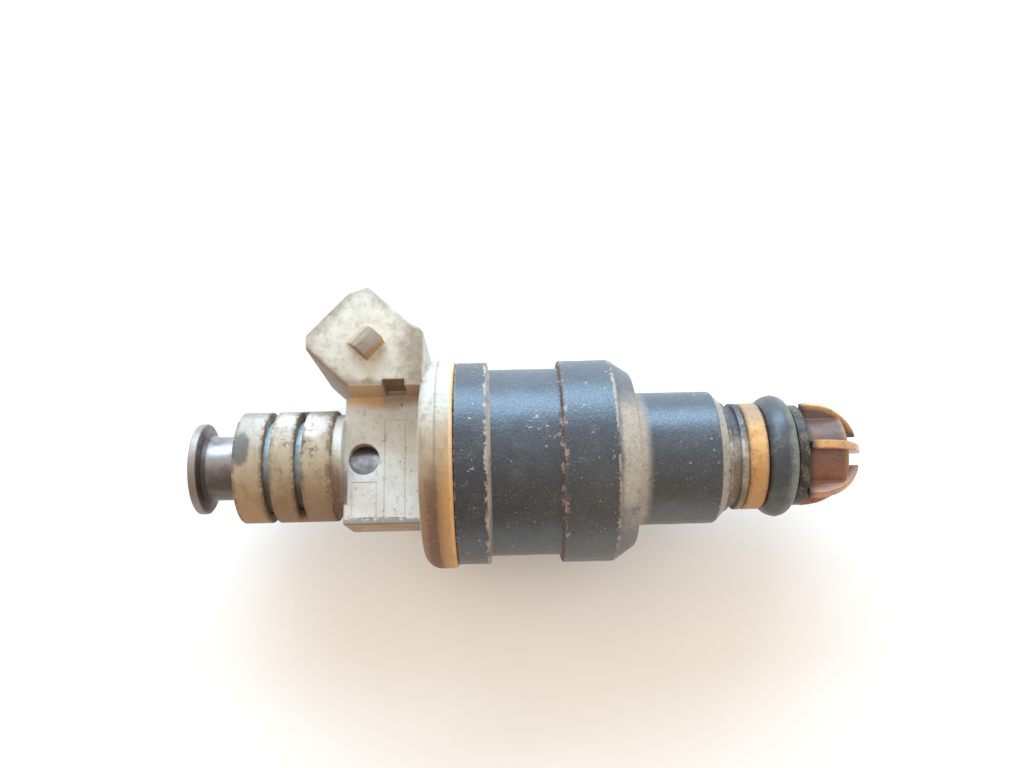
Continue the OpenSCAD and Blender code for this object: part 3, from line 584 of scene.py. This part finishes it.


# black coating: painted bluish sky reflection above, painted warm floor reflection below, with wear, rust,
# dust and flecks on its steps
def shellBlack(s, at):
    p = Paint("shellBlack", IOR=1.55, Specular_IOR_Level=0.95, Specular_Tint=(0.80, 0.92, 1.0, 1.0))
    waistBack, waistFront = at["waist"]
    grain, fine, patches = p.noise(0.22, 3), p.noise(0.5, 4, seed=1), p.noise(3.5, 5, 0.6, seed=2)
    ragged, tint = p.noise(0.7, 5, 0.7, seed=11), p.noise(6.0, 3, seed=23)
    colour = p.mix(patches.rise(0.35, 0.7), s["dark"], s["light"])
    # painted reflection: bluish towards the top, where the sky light falls
    colour = p.mix((p.y + patches * 4.0).rise(-3.0, 8.0) * 0.7, colour, s["blue"])
    colour = p.mix(p.x.rise(waistBack - 0.3, waistBack - 0.1, 0.6, 0.0), colour, s["backBand"])
    colour = p.mix(tint.rise(0.4, 0.65) * 0.6, colour, s["violet"])
    # painted reflection: warmer towards the bottom, which faces the floor
    colour = p.mix((p.y * -1.0 + tint * 6.0).rise(3.0, 9.0) * 0.5, colour, s["warm"])
    colour = p.mix(grain.rise(0.42, 0.62) * 0.6, colour, s["pore"])
    sparkle = p.noise(0.17, 2, seed=21).rise(0.56, 0.70) * (p.noise(1.5, 3, seed=24) + 0.2).rise(0.45, 0.85)
    colour = p.mix(sparkle * 0.6, colour, s["sparkle"])
    # bright wear on the edges
    edges = p.x.band(waistBack, 0.08, 0.12) + p.x.band(waistFront, 0.08, 0.12)
    edges = edges + p.x.band(at["shoulder"], 0.1, 0.25) + p.x.band(at["back"] + 0.1, 0.1, 0.1)
    worn = edges.low(1.0) * (ragged * 0.8 + patches * 0.5).rise(0.62, 0.76)
    colour = p.mix(worn * 0.7, colour, s["worn"])
    # dark rust with pale crumbs in the step of the front band
    rust = (p.x + fine * 0.5).band(waistFront + 0.25, 0.12, 0.14)
    rust = rust * (fine * 0.8 + patches * 0.5).rise(0.46, 0.62)
    spots = p.x.band(waistFront + 0.2, 0.5, 0.4) * (fine * 0.7 + patches * 0.6).rise(0.70, 0.82)
    rust = rust.top(spots * 0.8)
    colour = p.mix(rust, colour, s["rust"])
    crumbs = (p.x + fine * 0.6).band(waistFront + 0.4, 0.3, 0.2)
    crumbs = crumbs * (p.noise(1.4, 4, 0.7, seed=31) + ragged * 0.2).rise(0.65, 0.70)
    colour = p.mix(crumbs * 0.8, colour, s["crumbs"])
    # pale dust on the shoulder, thick where it meets the spigot, and in the steps
    upward = (p.y + patches * 5.0 - 2.5).band(-1.5, 4.0, 4.5) * p.z.rise(-4.0, 3.0, 0.3, 1.0)
    coneDust = (p.x + patches * 0.8).rise(-2.3, -1.2) * p.x.fall(0.0, 0.1) * (0.1 + upward)
    root = (p.x + fine * 0.5).fall(0.9, 2.2) * p.x.rise(-0.1, 0.0) * (0.4 + upward * 0.7)
    ledge = p.x.band(waistBack + 0.1, 0.1, 0.22) * (0.35 + upward * 0.5)
    ledge = ledge + p.x.rise(at["spigotEnd"] - 0.05, at["spigotEnd"] + 0.15) * 0.95
    dust = (coneDust + root + ledge).low(1.0) * (fine * 0.55 + patches * 0.5).rise(0.30, 0.56)
    colour = p.mix(dust * 0.93, colour, p.mix(fine.rise(0.4, 0.7), s["dustPale"], s["dustDark"]))
    trail = (p.x + ragged * 1.1).band(waistBack + 0.45, 0.20, 0.12)
    trail = trail.top((p.x + ragged * 0.8).band(at["shoulder"] + 0.35, 0.08, 0.12) * 0.8)
    trail = trail * (p.noise(2.6, 4, 0.7, seed=22) + ragged * 0.3).rise(0.62, 0.70)
    colour = p.mix(trail * 0.85, colour, s["trail"])
    haze = (patches * 0.6 + fine * 0.5).rise(0.54, 0.78) * 0.18
    colour = p.mix(haze, colour, s["haze"])
    settled = p.x.rise(-16.0, -3.0) * (p.y * -1.0 + patches * 5.0).rise(0.0, 9.0)
    colour = p.mix(settled * 0.12, colour, s["settled"])
    # flecks of old paint and grit
    flecks = (p.noise(0.9, 5, 0.7, seed=7) + p.noise(5.0, 2, seed=8) * 0.25).rise(0.77, 0.79)
    dots = p.specks(1.1, 0.085, 1) * patches.rise(0.42, 0.5)
    dots = (dots + p.specks(0.55, 0.10, 5) * fine.rise(0.50, 0.60) + flecks * 0.8).low(1.0)
    colour = p.mix(dots * 0.8, colour, s["fleck"])
    scratch = p.noise(0.08, 1, stretch=(25, 1, 1), seed=6).rise(0.70, 0.76) * patches.rise(0.5, 0.6)
    colour = p.mix(scratch * 0.4, colour, s["scratch"])
    rough = (0.25 + grain * 0.2 + trail * 0.3 + dust * 0.45 + haze * 0.6 + rust * 0.3).low(0.9)
    height = grain * 0.7 + fine * 0.5 + (dots + dust * fine) * 0.8 + rust * fine
    return p.finish(colour, rough, None, height, 0.045)


dullFinish = {
    "pale": (0.54, 0.52, 0.465), "dark": (0.38, 0.355, 0.31), "grime": (0.15, 0.115, 0.08),
    "groove": (0.20, 0.17, 0.13), "oily": (0.055, 0.065, 0.078), "under": (0.28, 0.20, 0.13),
}


def dullSteel(s):
    p = Paint("dullSteel")
    fine, patches = p.noise(0.4, 4), p.noise(2.2, 4, seed=1)
    colour = p.mix(patches.rise(0.35, 0.7), s["pale"], s["dark"])
    grime = (fine * 0.7 + patches * 0.4).rise(0.48, 0.64)
    colour = p.mix(grime * 0.65, colour, s["grime"])
    inGroove = p.r.fall(6.0, 6.25) * p.x.fall(washerBack - 0.1, washerBack)
    colour = p.mix(inGroove * 0.35, colour, s["groove"])
    oily = (p.y + patches * 3.0).rise(1.8, 4.5).top((p.y * -1.0 + patches * 3.0).rise(5.5, 7.5) * 0.6)
    colour = p.mix(oily * 0.85, colour, s["oily"])
    colour = p.mix((p.y * -1.0 + patches * 4.0).rise(0.0, 6.0) * 0.4, colour, s["under"])
    return p.finish(colour, (0.45 + grime * 0.3).low(0.9), 0.35 - grime * 0.3, fine * 0.8, 0.05)


brownFinish = {
    "pale": (0.76, 0.44, 0.175), "dark": (0.60, 0.31, 0.11), "above": (0.36, 0.25, 0.16),
    "ends": (0.16, 0.09, 0.05), "under": (0.34, 0.165, 0.07), "grime": (0.16, 0.095, 0.05),
}


def brownPlastic(s):
    p = Paint("brownPlastic", IOR=1.5)
    fine, patches = p.noise(0.35, 4), p.noise(2.0, 4, seed=1)
    colour = p.mix(patches.rise(0.35, 0.68), s["pale"], s["dark"])
    # painted light and shade: the top is painted a darker beige-brown for how the sky light falls on it
    colour = p.mix(p.y.rise(1.0, 4.5) * 0.9, colour, s["above"])
    ends = (p.x - (backupLow[0] + backupHigh[0]) / 2).absolute().rise(0.62, 0.98)
    colour = p.mix(ends * fine.rise(0.3, 0.6) * 0.45, colour, s["ends"])
    colour = p.mix((p.y * -1.0 + patches * 3.0).rise(1.0, 7.0) * 0.5, colour, s["under"])
    colour = p.mix((fine * 0.8 + patches * 0.3).rise(0.6, 0.75) * 0.5, colour, s["grime"])
    return p.finish(colour, 0.48 + fine * 0.25, None, fine, 0.05)


rubberFinish = {
    "dark": (0.034, 0.038, 0.046), "light": (0.062, 0.066, 0.070), "dust": (0.24, 0.25, 0.215),
    "grime": (0.20, 0.18, 0.15), "under": (0.12, 0.075, 0.045),
}


# black rubber, whose side towards the cap is grey with dust
def sealRubber(s):
    p = Paint("sealRubber", IOR=1.5, Specular_IOR_Level=0.9, Specular_Tint=(0.85, 0.95, 1.0, 1.0))
    fine, patches = p.noise(0.3, 4), p.noise(1.8, 4, seed=1)
    colour = p.mix(patches.rise(0.35, 0.7), s["dark"], s["light"])
    front = (p.x - (sealLow[0] + sealHigh[0]) / 2).rise(0.0, 1.0)
    dust = front * (fine * 0.5 + patches * 0.5).rise(0.32, 0.6)
    colour = p.mix(dust * 0.9, colour, s["dust"])
    colour = p.mix((fine * 0.7 + patches * 0.5).rise(0.64, 0.80) * 0.5, colour, s["grime"])
    colour = p.mix((p.y * -1.0).rise(3.5, 7.3) * patches.rise(0.3, 0.6) * 0.45, colour, s["under"])
    return p.finish(colour, 0.27 + fine * 0.25 + dust * 0.2, None, fine + patches * 0.5, 0.04)


capFinish = {
    "finCentre": 21.1, "rim": (5.5, 6.3), "root": (20.5, 21.7), "collar": (19.7, 20.6),      # mm
    "pale": (0.235, 0.105, 0.065), "dark": (0.165, 0.098, 0.085), "thin": (0.70, 0.36, 0.125),
    "under": (0.36, 0.12, 0.045), "above": (0.085, 0.055, 0.052), "soot": (0.010, 0.010, 0.009),
    "crust": (0.26, 0.24, 0.195), "grime": (0.06, 0.042, 0.036),
}


# brown cap: painted light shining through the thin rims of its fins and its underside, a painted sky
# reflection on its top, and its root is sooty
def capPlastic(s):
    p = Paint("capPlastic", IOR=1.55, Coat_Weight=0.35, Coat_Roughness=0.2)
    fine, patches = p.noise(0.3, 4), p.noise(1.6, 4, seed=1)
    colour = p.mix(patches.rise(0.35, 0.68), s["pale"], s["dark"])
    offCentre = ((p.x - s["finCentre"]) * (p.x - s["finCentre"]) + p.r * p.r).root()
    thin = offCentre.rise(*s["rim"]) * p.r.rise(2.3, 3.4)
    colour = p.mix(thin * 0.9, colour, s["thin"])
    # painted glow: brighter orange-red towards the bottom, for light through the cap
    colour = p.mix((p.y * -1.0 + patches * 2.0).rise(0.0, 5.5) * 0.5, colour, s["under"])
    # painted reflection: darker and purplish towards the top, for the sky
    colour = p.mix((p.y + patches * 2.0).rise(0.5, 3.0) * (1.0 - thin) * 0.6, colour, s["above"])
    root = (p.x + patches * 0.8).fall(*s["root"])
    colour = p.mix(root * 0.97, colour, s["soot"])
    crust = p.x.fall(*s["collar"]) * (fine * 0.5 + patches * 0.6).rise(0.56, 0.66)
    colour = p.mix(crust * 0.6, colour, s["crust"])
    colour = p.mix((fine * 0.6 + patches * 0.5).rise(0.52, 0.70) * 0.45, colour, s["grime"])
    return p.finish(colour, 0.22 + fine * 0.22 + root * 0.4, None, fine * 0.6 + patches * 0.4, 0.05)


# two tones in lumps of size mm, for what is seldom seen
def plain(name, light, dark, size, roughness, metallic, stretch=(1, 1, 1)):
    p = Paint(name, Metallic=metallic)
    lumps, fine = p.noise(size, 4, stretch=stretch), p.noise(size / 6, 3, seed=1)
    colour = p.mix(lumps.rise(0.35, 0.65), light, dark)
    return p.finish(colour, roughness + fine * 0.2, None, fine, 0.03)


# sizes of the shell, in mm, which its finish needs too
shellSettings = {
    "bandR": shellHigh[2], "waistR": 11.1, "spigotR": 7.9, "shoulderR": 10.3, "tuckR": 11.4, "endR": 6.8,
    "waist": (-16.8, -8.5), "shoulder": -2.5, "spigotEnd": 9.5, "back": -20.6,
    "dirtFillet": 1.3, "boreR": 6.2, "stop": -1.2, "innerR": 4.3, "floor": -5.6,
    "chamberWall": 1.2, "crimpWall": 1.9, "plateStep": 0.4, "unevenness": 0.012,
}

finishes = {
    "tube_steel": tubeSteel(tubeFinish),
    "cream_plastic": creamPlastic(creamSettings),
    "black_shell": shellBlack(blackFinish, shellSettings),
    "valve_steel": dullSteel(dullFinish),
    "magnet_steel": plain("magnetSteel", (0.42, 0.41, 0.42), (0.30, 0.29, 0.30), 1.2, 0.3, 1.0),
    "brown_plastic": brownPlastic(brownFinish),
    "cap_plastic": capPlastic(capFinish),
    "seal_rubber": sealRubber(rubberFinish),
    "bobbin_plastic": plain("bobbinPlastic", (0.20, 0.12, 0.07), (0.13, 0.08, 0.05), 2.0, 0.5, 0.0),
    "copper_wire": plain("copperWire", (0.62, 0.28, 0.13), (0.45, 0.18, 0.08), 0.4, 0.25, 1.0, (1, 30, 30)),
    "contact_brass": plain("contactBrass", (0.78, 0.66, 0.42), (0.55, 0.44, 0.25), 1.0, 0.25, 1.0),
    "filter_plastic": plain("filterPlastic", (0.74, 0.71, 0.61), (0.60, 0.55, 0.44), 1.5, 0.5, 0.0),
}
print("finishes made")

slotOf = {row["node"]: row["material_slot"] for row in frame["record"]["subparts"]}
for nodeName, cadObject in frame["nodes"].items():
    cadObject.data.materials.clear()
    cadObject.data.materials.append(finishes[slotOf[nodeName]])


# inlet tube, in mm
tubeSettings = {
    "lipLen": 0.9, "fillet": 1.1, "neckR": 3.8, "boreR": 3.05, "filterFloor": -39.1,
    "collar": (-44.6, -36.0), "collarR": 5.4, "slimR": 2.6,
    "coreStart": -24.5, "coreR": 3.4, "coreBore": 1.7, "unevenness": 0.012,
}


# outline as corners (x, r, radius of the rounding)
def inletTube(s):
    mouth, lipR = tubeLow[0], tubeHigh[2]
    lipEnd = mouth + s["lipLen"]
    corners = [
        (mouth, s["boreR"] + 0.5, 0.15), (mouth, lipR, 0.22), (lipEnd, lipR, 0.22),
        (lipEnd + 0.25, s["neckR"] + 0.45, 0.3), (lipEnd + s["fillet"], s["neckR"], 0.8),
        (s["collar"][0], s["neckR"], 0), (s["collar"][0], s["collarR"], 0.1),
        (s["collar"][1], s["collarR"], 0.1), (s["collar"][1], s["slimR"], 0),
        (s["coreStart"], s["slimR"], 0), (s["coreStart"], s["coreR"], 0),
        (tubeHigh[0], s["coreR"], 0.05), (tubeHigh[0], s["coreBore"], 0.05),
        (s["filterFloor"], s["coreBore"], 0), (s["filterFloor"] - 1, s["boreR"], 0),
        (mouth + 0.5, s["boreR"], 0.1),
    ]
    outline = fillIn(roundOff(corners), 0.5)
    return revolve("inletTube", outline, finishes["tube_steel"], 160,
                   lambda x, r, a: s["unevenness"] * waves(x, a, 3, 9, 3) * (r > 3.5))


stand(inletTube(tubeSettings), "inlet_tube")
print("inlet tube made")


# black shell, as corners (x, r, radius of the rounding); only its outside is uneven
def housingShell(s):
    waistBack, waistFront = s["waist"]
    chamber, crimp = s["waistR"] - s["chamberWall"], s["waistR"] - s["crimpWall"]
    plate = shellLow[0] + s["plateStep"]
    corners = [
        (shellLow[0], crimp, 0), (shellLow[0], s["tuckR"], 0), (s["back"], s["tuckR"], 0),
        (s["back"], s["bandR"], 0.3), (waistBack, s["bandR"], 0.22), (waistBack, s["waistR"], 0.12),
        (waistFront, s["waistR"], 0.12), (waistFront, s["bandR"], 0.28),
        (s["shoulder"], s["bandR"], 0.4), (0, s["shoulderR"], 0.35),
        (0, s["spigotR"], s["dirtFillet"]), (s["spigotEnd"], s["spigotR"], 0.35),
        (shellHigh[0], s["endR"], 0.12), (shellHigh[0], s["boreR"], 0),
        (s["stop"], s["boreR"], 0), (s["stop"], s["innerR"], 0), (s["floor"], s["innerR"], 0),
        (s["floor"], chamber, 0), (plate, chamber, 0), (plate, crimp, 0),
    ]
    outline = fillIn(roundOff(corners, 8), 0.35)

    def rough(x, r, a):
        outside = (r > 6.75) * (x > s["back"] + 0.05) * (x < shellHigh[0] - 0.05) * (r != chamber)
        outside = outside * ((r > s["waistR"] - 0.05) | (x > -0.3))
        return outside * (s["unevenness"] * waves(x, a, 2.2, 14, 5) - s["unevenness"])
    return revolve("housingShell", outline, finishes["black_shell"], 256, rough)


stand(housingShell(shellSettings), "housing_shell")
print("shell made")


# brown ring, slightly hollow round its outside, in mm
backupSettings = {"edge": 0.28, "hollow": 0.06, "hollowRound": 4.0, "unevenness": 0.02}


def backupRing(s):
    x0, x1, r = backupLow[0], backupHigh[0], backupHigh[2]
    hollow = ((x0 + x1) / 2, r - s["hollow"], s["hollowRound"])
    corners = [(x0, stemR, 0), (x0, r, s["edge"]), hollow, (x1, r, s["edge"]), (x1, stemR, 0)]
    return revolve("backupRing", fillIn(roundOff(corners), 0.3), finishes["brown_plastic"], 160,
                   lambda x, r, a: (r > 6) * (s["unevenness"] * waves(x, a, 2, 10, 8) - s["unevenness"]))


# seal ring, a circle in x and r with a thin mould line round its outside, in mm
sealSettings = {"flash": 0.05, "flashWidth": 0.12, "sunk": 0.06, "unevenness": 0.03}


def sealRing(s):
    x0, x1, r = sealLow[0], sealHigh[0], sealHigh[2]
    half = (x1 - x0) / 2
    t = np.linspace(0, 2 * np.pi, 48, endpoint=False)
    flash = s["flash"] * np.exp(-((np.sin(t) * half) / s["flashWidth"]) ** 2)
    outline = np.stack([(x0 + x1) / 2 + half * np.sin(t),
                        r - half + half * np.cos(t) - s["sunk"] + flash * (np.cos(t) > 0)], axis=-1)
    return revolve("sealRing", outline, finishes["seal_rubber"], 192,
                   lambda x, r, a: s["unevenness"] * waves(x, a, 4, 8, 11) * (r > stemR + 1.0))


stand(backupRing(backupSettings), "backup_ring")
stand(sealRing(sealSettings), "lower_seal_ring")
print("rings made")


# pieces that keep the CAD's shape and only get rounded edges: name, slot, width in mm and steps
edgeSettings = {
    "support_washer": ("supportWasher", "valve_steel", 0.06, 2),
    "valve_body": ("valveBody", "valve_steel", 0.05, 2),
    "pintle_cap": ("pintleCap", "cap_plastic", 0.12, 3),
    "terminal_left": ("terminalLeft", "contact_brass", 0.12, 2),
    "terminal_right": ("terminalRight", "contact_brass", 0.12, 2),
}

for nodeName, (pieceName, slotName, edgeWidth, edgeSteps) in edgeSettings.items():
    edgePasses = [(edgeWidth, edgeSteps, 25, everywhere)]
    stand(refined(pieceName, nodeName, finishes[slotName], edgePasses), nodeName)
print("washer, valve body, cap and blades made")


# connector moulding, in mm
mouldSettings = {
    "headSide": 8.5, "headAngle": 137, "headRoot": -17.0, "headFoot": 7.8, "rampHalf": 1.6,
    "blockTop": 3.65, "blockEnds": (-33.3, -24.8), "panelHalf": 7.2,
    "windowX": -31.35, "windowR": 1.9, "rimWidth": 0.5, "edgeWidth": 0.18,
}


# the outline of the head's two broad faces, without the foot of the ramps
def headRim(middle):
    s = mouldSettings
    angle = math.radians(s["headAngle"])
    offAxis = (middle.x - s["headRoot"]) * math.sin(angle) - middle.y * math.cos(angle)
    onFace = abs(abs(middle.z) - s["headSide"]) < 0.02
    return onFace and middle.y > s["headFoot"] and abs(offAxis) > s["rampHalf"]


# all edges but the shallow lines of the block's panels
def plainEdge(middle):
    s = mouldSettings
    inBlock = s["blockEnds"][0] < middle.x < s["blockEnds"][1]
    shallow = 0 < s["blockTop"] + 0.01 - abs(middle.z) < 0.12
    onPanel = inBlock and shallow and abs(middle.y) < s["panelHalf"]
    onWindow = math.hypot(middle.x - s["windowX"], middle.y) < s["windowR"]
    return not onPanel or onWindow


mouldPasses = [(mouldSettings["rimWidth"], 4, 60, headRim), (mouldSettings["edgeWidth"], 3, 25, plainEdge)]
stand(refined("connectorMoulding", "connector_overmold", finishes["cream_plastic"], mouldPasses),
      "connector_overmold")
print("connector moulding made")


# floor and light: floor in metres but for the gap in mm, light in watts and metres
studioSettings = {
    "floorGap": 0.02, "floorSize": 1.2, "floorGlow": 0.11, "floorGlowColour": (1.0, 0.9, 0.77, 1.0),
    "tablePale": (0.90, 0.885, 0.87), "tableDark": (0.86, 0.845, 0.83), "tableDirt": (0.45, 0.42, 0.40),
    "roomStrength": 1.10, "roomDark": (0.52, 0.43, 0.34, 1.0), "roomLight": (0.98, 0.90, 0.82, 1.0),
    "roomFade": (-1.0, 0.25), "skyPower": 1.9, "skySize": (0.50, 0.17), "skySpot": (-0.04, 0.28, 0.15),
    "skyAim": (-0.015, 0, 0), "skyColour": (0.52, 0.77, 1.0),
}


def tablePaint(s):
    p = Paint("paleTable", IOR=1.45, Emission_Color=s["floorGlowColour"], Emission_Strength=s["floorGlow"])
    colour = p.mix(p.noise(30, 3).rise(0.3, 0.7), s["tablePale"], s["tableDark"])
    dots = p.specks(9.0, 0.05, 2) * p.noise(20, 2, seed=3).rise(0.5, 0.6)
    marks = dots.top(p.noise(2.0, 4, 0.7, seed=5).rise(0.74, 0.80) * 0.5)
    colour = p.mix(marks * 0.35, colour, s["tableDirt"])
    return p.finish(colour, p.noise(2, 3) * 0.1 + 0.5)


def paleFloor(s):
    low = cadBox[0][2] - s["floorGap"] * mm
    half = s["floorSize"] / 2
    corners = np.array([[-half, -half, low], [half, -half, low], [half, half, low], [-half, half, low]]) / mm
    floor = addPiece("floor", corners, np.array([[0, 1, 2, 3]]), tablePaint(s))


def softRoom(s):
    world = bpy.data.worlds.new("softRoom")
    world.use_nodes = True
    tree = world.node_tree
    parts = addNode(tree, "SeparateXYZ", {}, {0: addNode(tree, "TexCoord").outputs["Generated"]})
    share = addNode(tree, "MapRange", {"interpolation_type": "SMOOTHSTEP"}, {
        "Value": parts.outputs["Y"], "From Min": s["roomFade"][0], "From Max": s["roomFade"][1]})
    blend = addNode(tree, "Mix", {"data_type": "RGBA"}, {
        0: share.outputs[0], 6: s["roomDark"], 7: s["roomLight"]})
    background = tree.nodes["Background"]
    background.inputs["Strength"].default_value = s["roomStrength"]
    tree.links.new(blend.outputs[2], background.inputs["Color"])
    scene.world = world


def skyLight(s):
    data = bpy.data.lights.new("sky", "AREA")
    data.shape = "RECTANGLE"
    data.energy, data.color = s["skyPower"], s["skyColour"]
    data.size, data.size_y = s["skySize"]
    light = bpy.data.objects.new("sky", data)
    light.location = s["skySpot"]
    light.rotation_euler = (Vector(s["skyAim"]) - Vector(s["skySpot"])).to_track_quat("-Z", "Y").to_euler()
    scene.collection.objects.link(light)


paleFloor(studioSettings)
softRoom(studioSettings)
skyLight(studioSettings)
scene.view_settings.view_transform = "Standard"
print("studio ready")
